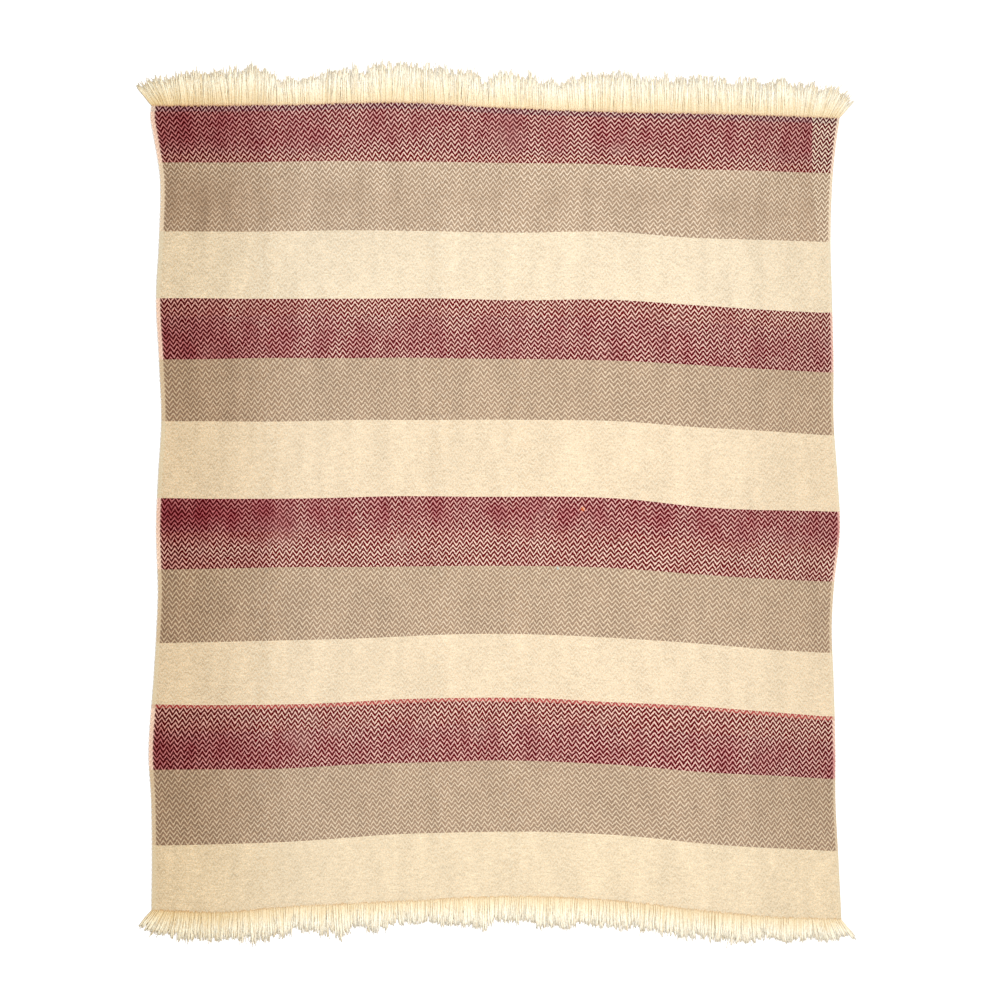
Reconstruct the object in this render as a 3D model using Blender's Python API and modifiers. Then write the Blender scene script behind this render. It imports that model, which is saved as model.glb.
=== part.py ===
"""A hand-woven wool bedspread laid out flat: one banded cloth, with its warp ends left as a fringe
along the top and the bottom edge. Metres, +Z up, origin on the surface under the cloth's middle."""
import math
import random

import bmesh
import bpy

CLOTH_THICK = 0.0040
CLEARANCE = 0.00035
ROWS_PER_BAND = 3
PLAIN_COLUMNS = 28
SAME_PLACE = 0.00001

STRIP_DEEP = 0.009
STRIP_HIGH = 0.0036
LOCKS_PER_FRINGE = 150
LOCK_BELLY_AT = 0.55
LOCK_BELLY_WIDE = 0.88
LOCK_BELLY_HIGH = 0.0030
LOCK_TIP_WIDE = 0.42
LOCK_TIP_HIGH = 0.0016
LOCK_LENGTH_SPREAD = 0.05
LOCK_DRIFT = 0.0006
SPLAY_REACH = 0.028

# The two selvedges, from the bottom corner up: height, left edge and right edge, in metres.
SELVEDGES = (
    (-1.116, -0.919, 0.927),
    (-0.958, -0.917, 0.919),
    (-0.797, -0.919, 0.911),
    (-0.663, -0.926, 0.911),
    (-0.476, -0.913, 0.906),
    (-0.342, -0.905, 0.901),
    (-0.235, -0.901, 0.906),
    (-0.074, -0.906, 0.923),
    (0.060, -0.901, 0.917),
    (0.221, -0.892, 0.906),
    (0.382, -0.898, 0.906),
    (0.543, -0.906, 0.902),
    (0.704, -0.898, 0.898),
    (0.864, -0.895, 0.903),
    (0.972, -0.911, 0.914),
    (1.030, -0.921, 0.922),
    (1.063, -0.919, 0.922),
)

# The two woven ends: place across from left to right, then the height of the top and bottom end.
ENDS = (
    (0.00, 1.063, -1.092),
    (0.10, 1.064, -1.098),
    (0.20, 1.066, -1.083),
    (0.36, 1.072, -1.069),
    (0.50, 1.059, -1.056),
    (0.60, 1.051, -1.059),
    (0.70, 1.045, -1.072),
    (0.80, 1.042, -1.094),
    (0.90, 1.037, -1.111),
    (1.00, 1.030, -1.117),
)

# The weft bands from the top: yarn, then the height of the band's lower line at five even places
# across, from left to right. The last band ends at the bottom end.
BANDS = (
    ("crimson", 0.911, 0.913, 0.905, 0.898, 0.882),
    ("taupe", 0.725, 0.727, 0.723, 0.715, 0.697),
    ("cream", 0.546, 0.546, 0.544, 0.534, 0.505),
    ("crimson", 0.391, 0.394, 0.391, 0.380, 0.355),
    ("taupe", 0.217, 0.219, 0.222, 0.209, 0.177),
    ("cream", 0.011, 0.012, 0.016, -0.003, -0.027),
    ("crimson", -0.177, -0.169, -0.165, -0.183, -0.212),
    ("taupe", -0.374, -0.363, -0.349, -0.369, -0.402),
    ("cream", -0.546, -0.544, -0.531, -0.550, -0.584),
    ("crimson", -0.709, -0.700, -0.685, -0.706, -0.733),
    ("taupe", -0.913, -0.895, -0.875, -0.899, -0.937),
    ("cream", None, None, None, None, None),
)

# Lengthwise creases left by folding: place across, half width, lift and distance kept from the ends.
CREASES = (
    (0.163, 0.045, 0.0020, 0.10),
    (0.418, 0.040, 0.0018, 0.16),
    (0.528, 0.050, 0.0028, 0.08),
)

# The fringe's length beyond the woven end: place across, top length and bottom length.
FRINGE_LENGTHS = (
    (0.00, 0.062, 0.056),
    (0.04, 0.084, 0.074),
    (0.10, 0.085, 0.072),
    (0.16, 0.091, 0.077),
    (0.19, 0.064, 0.072),
    (0.23, 0.075, 0.064),
    (0.27, 0.086, 0.085),
    (0.29, 0.086, 0.062),
    (0.33, 0.090, 0.073),
    (0.36, 0.100, 0.056),
    (0.40, 0.085, 0.058),
    (0.46, 0.086, 0.073),
    (0.49, 0.068, 0.072),
    (0.51, 0.085, 0.062),
    (0.55, 0.080, 0.070),
    (0.59, 0.064, 0.079),
    (0.63, 0.090, 0.072),
    (0.72, 0.092, 0.073),
    (0.80, 0.091, 0.080),
    (0.86, 0.090, 0.075),
    (0.89, 0.078, 0.054),
    (0.92, 0.089, 0.064),
    (0.95, 0.080, 0.056),
    (0.98, 0.088, 0.060),
    (1.00, 0.056, 0.058),
)

# The two fringes: the way out along Y, the lengths' column, how far the locks lean outwards at the
# left and right corner (sideways run for each metre of length), and the seed of their unevenness.
FRINGES = {
    "top": (1.0, 1, 0.95, 0.88, 11),
    "bottom": (-1.0, 2, 0.95, 0.70, 23),
}

FINISHES = {
    "crimson": ((0.386, 0.150, 0.138), 0.92),
    "taupe": ((0.565, 0.418, 0.296), 0.93),
    "cream": ((0.896, 0.783, 0.584), 0.94),
    "warp_ends": ((0.930, 0.840, 0.660), 0.95),
}


def read_table(rows, column, at):
    """Smooth curve through one column of a table, at a place along its first column."""
    last = len(rows) - 1
    if at <= rows[0][0]:
        return rows[0][column]
    if at >= rows[last][0]:
        return rows[last][column]
    here = max(row for row in range(last) if rows[row][0] <= at)
    before = rows[max(here - 1, 0)]
    start = rows[here]
    end = rows[here + 1]
    after = rows[min(here + 2, last)]
    span = end[0] - start[0]
    share = (at - start[0]) / span
    slope_in = span * (end[column] - before[column]) / (end[0] - before[0])
    slope_out = span * (after[column] - start[column]) / (after[0] - start[0])
    square = share * share
    cube = square * share
    return (
        start[column] * (2 * cube - 3 * square + 1)
        + slope_in * (cube - 2 * square + share)
        + end[column] * (3 * square - 2 * cube)
        + slope_out * (cube - square)
    )


def end_height(end, across):
    """Height of the woven end on this side of the cloth."""
    return read_table(ENDS, 1 if end == "top" else 2, across)


def weft_line(number, across):
    """Height of the line under this many bands: 0 is the top end, the last is the bottom end."""
    if number == 0:
        return end_height("top", across)
    if number == len(BANDS):
        return end_height("bottom", across)
    heights = BANDS[number - 1][1:]
    steps = len(heights) - 1
    line = [(step / steps, height) for step, height in enumerate(heights)]
    return read_table(line, 1, across)


def sideways(across, height):
    """Sideways place of a warp end between the two selvedges at this height."""
    left = read_table(SELVEDGES, 1, height)
    right = read_table(SELVEDGES, 2, height)
    return left + (right - left) * across


def crease_lift(across, height):
    """How far the creases raise the cloth's underside; elsewhere it lies on the surface."""
    lift = 0.0
    for place, half_width, rise, from_end in CREASES:
        off = abs(sideways(across, height) - sideways(place, height)) / half_width
        room = min(end_height("top", across) - height, height - end_height("bottom", across))
        if off < 1.0 and room > 0.0:
            lift += rise * 0.5 * (1.0 + math.cos(math.pi * off)) * min(room / from_end, 1.0) ** 2
    return lift


def finish(name):
    """The plain wool finish of this yarn."""
    colour, roughness = FINISHES[name]
    material = bpy.data.materials.new(name)
    material.use_nodes = True
    shader = material.node_tree.nodes["Principled BSDF"]
    shader.inputs["Base Color"].default_value = (*colour, 1.0)
    shader.inputs["Roughness"].default_value = roughness
    shader.inputs["Metallic"].default_value = 0.0
    material.diffuse_color = (*colour, 1.0)
    return material


def new_piece(name, mesh, collection):
    """An object for this mesh, in the bedspread's collection."""
    piece = bpy.data.objects.new(name, mesh)
    collection.objects.link(piece)
    return piece


def cut_across(shape, across):
    """A line of points down a unit-sized shape at this place across it."""
    bmesh.ops.bisect_plane(
        shape,
        geom=shape.verts[:] + shape.edges[:] + shape.faces[:],
        dist=SAME_PLACE,
        plane_co=(across - 0.5, 0.0, 0.0),
        plane_no=(1.0, 0.0, 0.0),
    )


def crease_columns():
    """Places across of the points along each crease: its two feet and its ridge."""
    width = sideways(1.0, 0.0) - sideways(0.0, 0.0)
    return [
        place + side * half_width / width
        for place, half_width, _rise, _from_end in CREASES
        for side in (-1.0, 0.0, 1.0)
    ]


def straight_end_height(end, across):
    """Height of the modelled end, which runs straight between the cloth's columns of points."""
    columns = [step / PLAIN_COLUMNS for step in range(PLAIN_COLUMNS + 1)] + crease_columns()
    before = max(column for column in columns if column <= across + SAME_PLACE)
    after = min([column for column in columns if column > before] or [before + 1.0])
    start = end_height(end, before)
    return start + (end_height(end, after) - start) * (across - before) / (after - before)


def build_cloth(collection):
    """A grid cut along the creases and drawn out to the bands' lines, then given its thickness."""
    rows = ROWS_PER_BAND * len(BANDS)
    shape = bmesh.new()
    bmesh.ops.create_grid(shape, x_segments=PLAIN_COLUMNS, y_segments=rows, size=0.5)
    for across in crease_columns():
        cut_across(shape, across)
    yarns = sorted({band[0] for band in BANDS})
    for face in shape.faces:
        band = int((0.5 - face.calc_center_median().y) * len(BANDS))
        face.material_index = yarns.index(BANDS[band][0])
    for point in shape.verts:
        across = point.co.x + 0.5
        down = (0.5 - point.co.y) * len(BANDS)
        band = min(int(down), len(BANDS) - 1)
        above = weft_line(band, across)
        below = weft_line(band + 1, across)
        height = above + (below - above) * (down - band)
        point.co = (sideways(across, height), height, crease_lift(across, height))
    mesh = bpy.data.meshes.new("cloth")
    shape.to_mesh(mesh)
    shape.free()
    for yarn in yarns:
        mesh.materials.append(finish(yarn))
    cloth = new_piece("cloth", mesh, collection)
    thickness = cloth.modifiers.new("thickness", "SOLIDIFY")
    thickness.thickness = CLOTH_THICK
    thickness.offset = 1.0


def lean(end, across):
    """Sideways run of a lock for each metre of its length, strongest at the corners."""
    _outwards, _column, left_splay, right_splay, _seed = FRINGES[end]
    left = left_splay * math.exp(-across / SPLAY_REACH)
    right = right_splay * math.exp((across - 1.0) / SPLAY_REACH)
    return right - left


def build_fringe(end, collection):
    """A narrow strip along the woven end, with a tapering lock drawn out of each of its cells."""
    outwards, column, _left_splay, _right_splay, seed = FRINGES[end]
    chance = random.Random(seed)
    shape = bmesh.new()
    bmesh.ops.create_cube(shape, size=1.0)
    for cut in range(1, LOCKS_PER_FRINGE):
        cut_across(shape, cut / LOCKS_PER_FRINGE)
    outer_faces = [face for face in shape.faces if face.normal.y * outwards > 0.5]
    places = [face.calc_center_median().x + 0.5 for face in outer_faces]
    for point in shape.verts:
        across = point.co.x + 0.5
        is_outer = point.co.y * outwards > 0.0
        woven_end = straight_end_height(end, across)
        away = CLEARANCE + (STRIP_DEEP if is_outer else 0.0)
        spread = lean(end, across) * STRIP_DEEP if is_outer else 0.0
        point.co = (
            sideways(across, woven_end) + spread,
            woven_end + outwards * away,
            STRIP_HIGH if point.co.z > 0.0 else 0.0,
        )
    sections = (
        (LOCK_BELLY_AT, LOCK_BELLY_WIDE, LOCK_BELLY_HIGH),
        (1.0 - LOCK_BELLY_AT, LOCK_TIP_WIDE / LOCK_BELLY_WIDE, LOCK_TIP_HIGH),
    )
    for face, across in zip(outer_faces, places):
        full = read_table(FRINGE_LENGTHS, column, across) - CLEARANCE - STRIP_DEEP
        full *= 1.0 + LOCK_LENGTH_SPREAD * chance.uniform(-1.0, 1.0)
        for share, narrow, high in sections:
            grown = bmesh.ops.extrude_discrete_faces(shape, faces=[face])
            face = grown["faces"][0]
            middle = face.calc_center_median()
            leaning = lean(end, across)
            forwards = share * full / math.hypot(1.0, leaning)
            drift = LOCK_DRIFT * chance.uniform(-1.0, 1.0)
            for point in face.verts:
                point.co.x = middle.x + (point.co.x - middle.x) * narrow + leaning * forwards + drift
                point.co.y = middle.y + (point.co.y - middle.y) * narrow + outwards * forwards
                point.co.z = high if point.co.z > middle.z else 0.0
    bmesh.ops.recalc_face_normals(shape, faces=shape.faces[:])
    mesh = bpy.data.meshes.new("fringe_" + end)
    shape.to_mesh(mesh)
    shape.free()
    mesh.materials.append(finish("warp_ends"))
    new_piece("fringe_" + end, mesh, collection)


for old in list(bpy.data.objects):
    bpy.data.objects.remove(old, do_unlink=True)

bedspread = bpy.data.collections.new("wool_bedspread")
bpy.context.scene.collection.children.link(bedspread)
build_cloth(bedspread)
for fringe_end in FRINGES:
    build_fringe(fringe_end, bedspread)
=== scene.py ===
"""Hand-woven wool bedspread laid out flat: banded zigzag twill, with its warp ends as a fringe."""
import math

import bpy
import numpy as np
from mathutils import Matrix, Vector


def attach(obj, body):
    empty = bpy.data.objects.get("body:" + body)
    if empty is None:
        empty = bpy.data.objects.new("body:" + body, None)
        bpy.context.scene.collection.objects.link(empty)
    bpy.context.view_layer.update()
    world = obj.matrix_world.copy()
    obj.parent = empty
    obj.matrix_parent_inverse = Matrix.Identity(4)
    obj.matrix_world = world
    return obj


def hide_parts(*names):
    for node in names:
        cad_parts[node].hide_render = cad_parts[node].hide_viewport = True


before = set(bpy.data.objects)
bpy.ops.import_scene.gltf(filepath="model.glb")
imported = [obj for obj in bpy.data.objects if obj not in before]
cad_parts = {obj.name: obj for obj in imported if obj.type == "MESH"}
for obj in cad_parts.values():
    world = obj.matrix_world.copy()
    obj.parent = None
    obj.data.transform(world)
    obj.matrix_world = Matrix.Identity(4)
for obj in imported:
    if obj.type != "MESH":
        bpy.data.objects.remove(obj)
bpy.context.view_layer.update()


# The camera hangs on a gantry over the cloth and looks straight down. A lamp beyond the upper right
# corner shades the left of every rib, a long soft box over the middle makes the cloth brightest
# there, and the white room fills the shadows.
PICTURE_WIDTH = 2.68
PICTURE_MIDDLE = (0.0134, 0.0067)
LENS = 85.0
SENSOR = 36.0
LAMP_ELEVATION = math.radians(50)
LAMP_BEARING = math.radians(28)
LAMP_DISTANCE = 4.0
LAMP_SPREAD = math.radians(14)
LAMP_STRENGTH = 1.4
SOFT_BOX_AT = (0.20, 0.15, 1.65)
SOFT_BOX_WIDTH = 0.45
SOFT_BOX_LENGTH = 3.6
SOFT_BOX_WATTS = 20.0
ROOM_WHITE = (1.0, 1.0, 1.0, 1.0)
ROOM_STRENGTH = 0.80

camera_height = PICTURE_WIDTH * LENS / SENSOR
bpy.ops.object.camera_add(location=(*PICTURE_MIDDLE, camera_height))
camera = bpy.context.object
camera.name = "gantry_camera"
camera.data.lens = LENS
camera.data.sensor_width = SENSOR
bpy.context.scene.camera = camera
bpy.context.scene.view_settings.view_transform = "Standard"

to_lamp = Vector((
    math.cos(LAMP_ELEVATION) * math.cos(LAMP_BEARING),
    math.cos(LAMP_ELEVATION) * math.sin(LAMP_BEARING),
    math.sin(LAMP_ELEVATION),
))
bpy.ops.object.light_add(type="SUN", location=to_lamp * LAMP_DISTANCE)
lamp = bpy.context.object
lamp.rotation_euler = to_lamp.to_track_quat("Z", "Y").to_euler()
lamp.data.energy = LAMP_STRENGTH
lamp.data.angle = LAMP_SPREAD

bpy.ops.object.light_add(type="AREA", location=SOFT_BOX_AT)
soft_box = bpy.context.object
soft_box.data.shape = "RECTANGLE"
soft_box.data.size = SOFT_BOX_WIDTH
soft_box.data.size_y = SOFT_BOX_LENGTH
soft_box.data.energy = SOFT_BOX_WATTS
soft_box.visible_camera = False

room = bpy.data.worlds.new("white_room")
room.use_nodes = True
room_light = room.node_tree.nodes["Background"].inputs
room_light["Color"].default_value = ROOM_WHITE
room_light["Strength"].default_value = ROOM_STRENGTH
bpy.context.scene.world = room


# The studio floor is one sheet of matt white board under the cloth. It is only a stage, and isn't
# part of the bedspread.
FLOOR_SIZE = 16.0
FLOOR_DROP = 0.0002
BOARD_WHITE = (0.96, 0.96, 0.96, 1.0)
BOARD_ROUGHNESS = 0.9

bpy.ops.object.select_all(action="DESELECT")
bpy.ops.mesh.primitive_plane_add(size=FLOOR_SIZE, location=(0.0, 0.0, -FLOOR_DROP))
floor = bpy.context.object
floor.name = "studio_floor"
board = bpy.data.materials.new("white_board")
board.use_nodes = True
board_finish = board.node_tree.nodes["Principled BSDF"].inputs
board_finish["Base Color"].default_value = BOARD_WHITE
board_finish["Roughness"].default_value = BOARD_ROUGHNESS
floor.data.materials.append(board)


# The cloth is one length of thick hand-spun wool, woven in a two-and-two twill whose slope turns
# every four ends, so it runs in zigzags. The warp is cream throughout, and the weft changes from
# crimson to taupe to cream four times. Nothing is sewn: the two sides are plain selvedges.
CLOTH_THICK = 0.0040
RIB_RELIEF = 0.00032
RIPPLE_RISE = 0.00016
RIPPLE_FADE = 0.05
EDGE_BULGE = 0.0011
EDGE_THREADS = 4
EDGE_BULGES_AT = 0.45
ENDS = 768
ENDS_UP_A_SLOPE = 4
PICKS_PER_REPEAT = 4

# The two selvedges, from the bottom corner up: height, left edge and right edge, in metres.
SELVEDGES = (
    (-1.116, -0.919, 0.927), (-0.958, -0.917, 0.919), (-0.797, -0.919, 0.911),
    (-0.663, -0.926, 0.911), (-0.476, -0.913, 0.906), (-0.342, -0.905, 0.901),
    (-0.235, -0.901, 0.906), (-0.074, -0.906, 0.923), (0.060, -0.901, 0.917),
    (0.221, -0.892, 0.906), (0.382, -0.898, 0.906), (0.543, -0.906, 0.902),
    (0.704, -0.898, 0.898), (0.864, -0.895, 0.903), (0.972, -0.911, 0.914),
    (1.030, -0.921, 0.922), (1.063, -0.919, 0.922),
)

# The two woven ends: place across from left to right, then the height of the top and bottom end.
WOVEN_ENDS = (
    (0.00, 1.063, -1.092), (0.10, 1.064, -1.098), (0.20, 1.066, -1.083), (0.36, 1.072, -1.069),
    (0.50, 1.059, -1.056), (0.60, 1.051, -1.059), (0.70, 1.045, -1.072), (0.80, 1.042, -1.094),
    (0.90, 1.037, -1.111), (1.00, 1.030, -1.117),
)

# The bands from the top: picks of weft, then the height of the band's lower line at these places
# across. The last band ends at the bottom end.
LINE_PLACES = (0.015, 0.19, 0.365, 0.52, 0.675, 0.806, 0.985)
BANDS = (
    (46, 0.911, 0.9125, 0.914, 0.909, 0.905, 0.892, 0.883),
    (54, 0.725, 0.727, 0.728, 0.723, 0.724, 0.709, 0.698),
    (52, 0.546, 0.546, 0.546, 0.543, 0.542, 0.527, 0.508),
    (47, 0.391, 0.393, 0.395, 0.390, 0.388, 0.373, 0.356),
    (50, 0.217, 0.218, 0.221, 0.222, 0.217, 0.202, 0.180),
    (59, 0.011, 0.0105, 0.016, 0.016, 0.0105, -0.013, -0.0255),
    (55, -0.177, -0.169, -0.169, -0.165, -0.173, -0.190, -0.209),
    (54, -0.374, -0.366, -0.356, -0.348, -0.359, -0.376, -0.399),
    (54, -0.5465, -0.549, -0.533, -0.530, -0.540, -0.554, -0.579),
    (45, -0.709, -0.705, -0.691, -0.684, -0.696, -0.714, -0.7335),
    (57, -0.9125, -0.902, -0.882, -0.874, -0.884, -0.906, -0.927),
    (53,),
)
PICKS = sum(band[0] for band in BANDS)

# Lengthwise creases left by folding: place across, half width, lift and distance kept from the ends.
CREASES = (
    (0.163, 0.045, 0.0020, 0.10),
    (0.418, 0.040, 0.0018, 0.16),
    (0.528, 0.050, 0.0028, 0.08),
)

# Short slanting creases: one end, the other end, half width and lift.
SHORT_CREASES = (
    ((0.118, -0.372), (0.150, -0.520), 0.007, 0.0009),
    ((0.232, -0.385), (0.268, -0.470), 0.007, 0.0007),
    ((0.300, -0.790), (0.335, -0.860), 0.008, 0.0006),
)

# The reed was less even towards the right: share of the ends, and their place across the cloth.
REED = ((0.0, 0.0), (0.30, 0.295), (0.61, 0.600), (0.832, 0.843), (1.0, 1.0))

# The ends wander and the picks are beaten unevenly, everywhere but along the edges. Each row is a
# long wave: its size, and how fast it turns down the cloth and across it.
WANDER = ((0.5, 0.031, 0.037), (0.4, 0.013, -0.083))
BEAT = ((0.0009, 0.21, 19.0), (0.0007, 0.47, -31.0))
STRAIGHT_ENDS = 16.0
STRAIGHT_PICKS = 20.0

# The draft has a column for every slope of the twill and a row for every two picks. The back is
# plain and coarser, set in from the edges by a few threads.
DRAFT_COLUMNS = ENDS // ENDS_UP_A_SLOPE + 1
DRAFT_ROWS = (PICKS + ENDS_UP_A_SLOPE + 2) // 2
BACK_COLUMNS = 48
BACK_ROWS = 80
BACK_INSET = 6.0
FRONT_SHARE_OF_MAP = 0.84
MAP_MARGIN = 0.004


def read_table(rows, column, at):
    """Smooth curve through one column of a table, at places along its first column."""
    place = np.array([row[0] for row in rows], float)
    value = np.array([row[column] for row in rows], float)
    last = len(rows) - 1
    at = np.clip(at, place[0], place[last])
    here = np.clip(np.searchsorted(place, at, side="right") - 1, 0, last - 1)
    before = np.maximum(here - 1, 0)
    after = np.minimum(here + 2, last)
    span = place[here + 1] - place[here]
    share = (at - place[here]) / span
    slope_in = span * (value[here + 1] - value[before]) / (place[here + 1] - place[before])
    slope_out = span * (value[after] - value[here]) / (place[after] - place[here])
    return (
        value[here] * (2 * share**3 - 3 * share**2 + 1)
        + slope_in * (share**3 - 2 * share**2 + share)
        + value[here + 1] * (3 * share**2 - 2 * share**3)
        + slope_out * (share**3 - share**2)
    )


def sideways(across, height):
    """Sideways place of a warp end between the two selvedges at this height."""
    left = read_table(SELVEDGES, 1, height)
    right = read_table(SELVEDGES, 2, height)
    return left + (right - left) * across


def weft_line(number, across):
    """Height of the line under this many bands: 0 is the top end, the last is the bottom end."""
    if number == 0:
        return read_table(WOVEN_ENDS, 1, across)
    if number == len(BANDS):
        return read_table(WOVEN_ENDS, 2, across)
    return read_table(list(zip(LINE_PLACES, BANDS[number - 1][1:])), 1, across)


def waves(rows, one_way, other_way):
    """Waves added up, each row its size and how fast it turns one way and the other."""
    return sum(size * np.sin(one_way * first + other_way * second) for size, first, second in rows)


def laid_place(end, pick):
    """Where a crossing of warp end and weft pick lies on the floor: place across, x and y."""
    inside = np.clip(np.minimum(end, ENDS - end) / STRAIGHT_ENDS, 0.0, 1.0)
    across = read_table(REED, 1, (end + waves(WANDER, pick, end) * inside) / ENDS)
    first_picks = np.cumsum([0] + [band[0] for band in BANDS])
    band = np.clip(np.searchsorted(first_picks, pick, side="right") - 1, 0, len(BANDS) - 1)
    share = (pick - first_picks[band]) / np.diff(first_picks)[band]
    lines = np.array([weft_line(number, across) for number in range(len(BANDS) + 1)])
    points = np.arange(len(across))
    above = lines[band, points]
    below = lines[band + 1, points]
    inside = np.clip(np.minimum(pick, PICKS - pick) / STRAIGHT_PICKS, 0.0, 1.0)
    height = above + (below - above) * share + waves(BEAT, pick, across) * inside
    return across, sideways(across, height), height


def lift_of(across, x, y):
    """How far creases and soft ripples raise the cloth's underside from the floor."""
    from_top = read_table(WOVEN_ENDS, 1, across) - y
    from_bottom = y - read_table(WOVEN_ENDS, 2, across)
    room = np.maximum(np.minimum(from_top, from_bottom), 0.0)
    lift = np.zeros(len(x))
    for place, half_width, rise, from_end in CREASES:
        off = np.clip(np.abs(x - sideways(place, y)) / half_width, 0.0, 1.0)
        lift += rise * 0.5 * (1 + np.cos(math.pi * off)) * np.minimum(room / from_end, 1.0) ** 2
    for start, stop, half_width, rise in SHORT_CREASES:
        run = np.subtract(stop, start)
        along = ((x - start[0]) * run[0] + (y - start[1]) * run[1]) / (run @ run)
        off = ((x - start[0]) * run[1] - (y - start[1]) * run[0]) / np.hypot(*run) / half_width
        ridge = np.clip(1.0 - off**2, 0.0, 1.0) ** 2
        lift += rise * ridge * np.sin(math.pi * np.clip(along, 0.0, 1.0))
    ripple = np.sin(across * 47.0 + 1.5 * np.sin(y * 2.1)) + np.sin(across * 101.0 - 1.9 * y)
    ripple += 0.8 * np.sin(across * 173.0 + 2.4 * np.sin(y * 1.3 + 0.7))
    lift += RIPPLE_RISE * (ripple + 2.8) * np.clip(room / RIPPLE_FADE, 0.0, 1.0)
    return lift


def twill_climb(end):
    """How many picks the zigzag has climbed at a warp end, up one slope and down the next."""
    return ENDS_UP_A_SLOPE - np.abs((end - 0.5) % (2 * ENDS_UP_A_SLOPE) - ENDS_UP_A_SLOPE)


def coordinates(mesh):
    """The mesh's points as rows of three numbers."""
    found = np.empty(len(mesh.vertices) * 3)
    mesh.vertices.foreach_get("co", found)
    return found.reshape(-1, 3)


# The draft is drawn first, as a weaver would on squared paper: ends along X, picks down Y.
bpy.ops.mesh.primitive_grid_add(x_subdivisions=DRAFT_COLUMNS, y_subdivisions=DRAFT_ROWS, size=1.0)
cloth = bpy.context.object
cloth.name = "bedspread_cloth"
draft = coordinates(cloth.data)
column = np.rint((draft[:, 0] + 0.5) * DRAFT_COLUMNS)
row = np.rint((0.5 - draft[:, 1]) * DRAFT_ROWS)
end = np.clip(ENDS_UP_A_SLOPE * (column - 1) + 0.5, 0, ENDS)
pick = np.clip(2 * row - twill_climb(end) - 1, 0, PICKS)
cloth.data.vertices.foreach_set("co", np.column_stack([end, -pick, np.ones(len(end))]).ravel())
bpy.ops.object.mode_set(mode="EDIT")
bpy.ops.mesh.select_mode(type="EDGE")
bpy.ops.mesh.select_all(action="SELECT")
bpy.ops.mesh.remove_doubles(threshold=0.01)

# The edge is turned down in two steps, and the plain underside is joined to it.
bpy.ops.mesh.select_all(action="DESELECT")
bpy.ops.mesh.select_non_manifold()
for _step in range(2):
    bpy.ops.mesh.extrude_edges_move(TRANSFORM_OT_translate={"value": (0.0, 0.0, -0.5)})
bpy.ops.mesh.select_all(action="DESELECT")
bpy.ops.mesh.primitive_grid_add(
    x_subdivisions=BACK_COLUMNS,
    y_subdivisions=BACK_ROWS,
    size=1.0,
    location=(ENDS / 2, -PICKS / 2, 0.0),
    scale=(ENDS - 2 * BACK_INSET, PICKS - 2 * BACK_INSET, 1.0),
)
bpy.ops.mesh.select_all(action="DESELECT")
bpy.ops.mesh.select_non_manifold()
bpy.ops.mesh.fill(use_beauty=True)
bpy.ops.mesh.select_all(action="SELECT")
bpy.ops.mesh.normals_make_consistent(inside=False)
bpy.ops.object.mode_set(mode="OBJECT")

draft = coordinates(cloth.data)
end, pick, level = draft[:, 0], -draft[:, 1], draft[:, 2]
corner_point = np.empty(len(cloth.data.loops), int)
cloth.data.loops.foreach_get("vertex_index", corner_point)
corners = np.empty(len(cloth.data.polygons), int)
cloth.data.polygons.foreach_get("loop_total", corners)
first_corner = np.cumsum(corners) - corners
face_top = np.repeat(np.maximum.reduceat(level[corner_point], first_corner), corners)
face_foot = np.repeat(np.minimum.reduceat(level[corner_point], first_corner), corners)

# Two maps: one counts threads, for the weave, and one lays front, turned edge and back side by side.
while cloth.data.uv_layers:
    cloth.data.uv_layers.remove(cloth.data.uv_layers[0])
threads = np.column_stack([end, pick])[corner_point]
cloth.data.uv_layers.new(name="threads").data.foreach_set("uv", threads.ravel())
turned_down = (1 - level)[corner_point] * (face_foot < face_top) * MAP_MARGIN
out_x = (threads[:, 0] >= ENDS).astype(float) - (threads[:, 0] <= 0)
out_y = (threads[:, 1] <= 0).astype(float) - (threads[:, 1] >= PICKS)
is_back = face_top <= 0
panel_left = np.where(is_back, FRONT_SHARE_OF_MAP, 0.0) + MAP_MARGIN
panel_width = np.where(is_back, 1 - FRONT_SHARE_OF_MAP, FRONT_SHARE_OF_MAP) - 2 * MAP_MARGIN
laid_out = np.column_stack([
    panel_left + panel_width * threads[:, 0] / ENDS + out_x * turned_down,
    MAP_MARGIN + (1 - 2 * MAP_MARGIN) * (1 - threads[:, 1] / PICKS) + out_y * turned_down,
])
cloth.data.uv_layers.new(name="OFBake").data.foreach_set("uv", laid_out.ravel())

# Off the squared paper and onto the floor: each crossing goes to its place, with the ribs raised.
across, x, y = laid_place(end, pick)
lift = lift_of(across, x, y)
rib = np.cos((pick + twill_climb(end) - 1) * 2 * math.pi / PICKS_PER_REPEAT)
threads_in = np.minimum(np.minimum(end, ENDS - end), np.minimum(pick, PICKS - pick))
rounded = EDGE_BULGE * (1 - np.clip(threads_in / EDGE_THREADS, 0, 1)) ** 2
front = lift + CLOTH_THICK - RIB_RELIEF * (1 - rib) - rounded
on_front = level > 0.9
on_edge = (level > 0.4) & ~on_front
z = np.where(on_front, front, np.where(on_edge, lift + EDGE_BULGES_AT * CLOTH_THICK, lift))
bulge = EDGE_BULGE * on_edge
x = x + bulge * ((end >= ENDS).astype(float) - (end <= 0))
y = y + bulge * ((pick <= 0).astype(float) - (pick >= PICKS))
cloth.data.vertices.foreach_set("co", np.column_stack([x, y, z]).ravel())
cloth.data.update()
bpy.ops.object.shade_smooth()


def connect(tree, value, socket):
    """Feeds a socket from another node's output, or sets it to a plain value."""
    if isinstance(value, bpy.types.NodeSocket):
        tree.links.new(value, socket)
    else:
        socket.default_value = value


def calc(tree, operation, *values):
    """A Math node of this tree, fed with numbers or other nodes' outputs."""
    node = tree.nodes.new("ShaderNodeMath")
    node.operation = operation
    for value, socket in zip(values, node.inputs):
        connect(tree, value, socket)
    return node.outputs["Value"]


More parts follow.
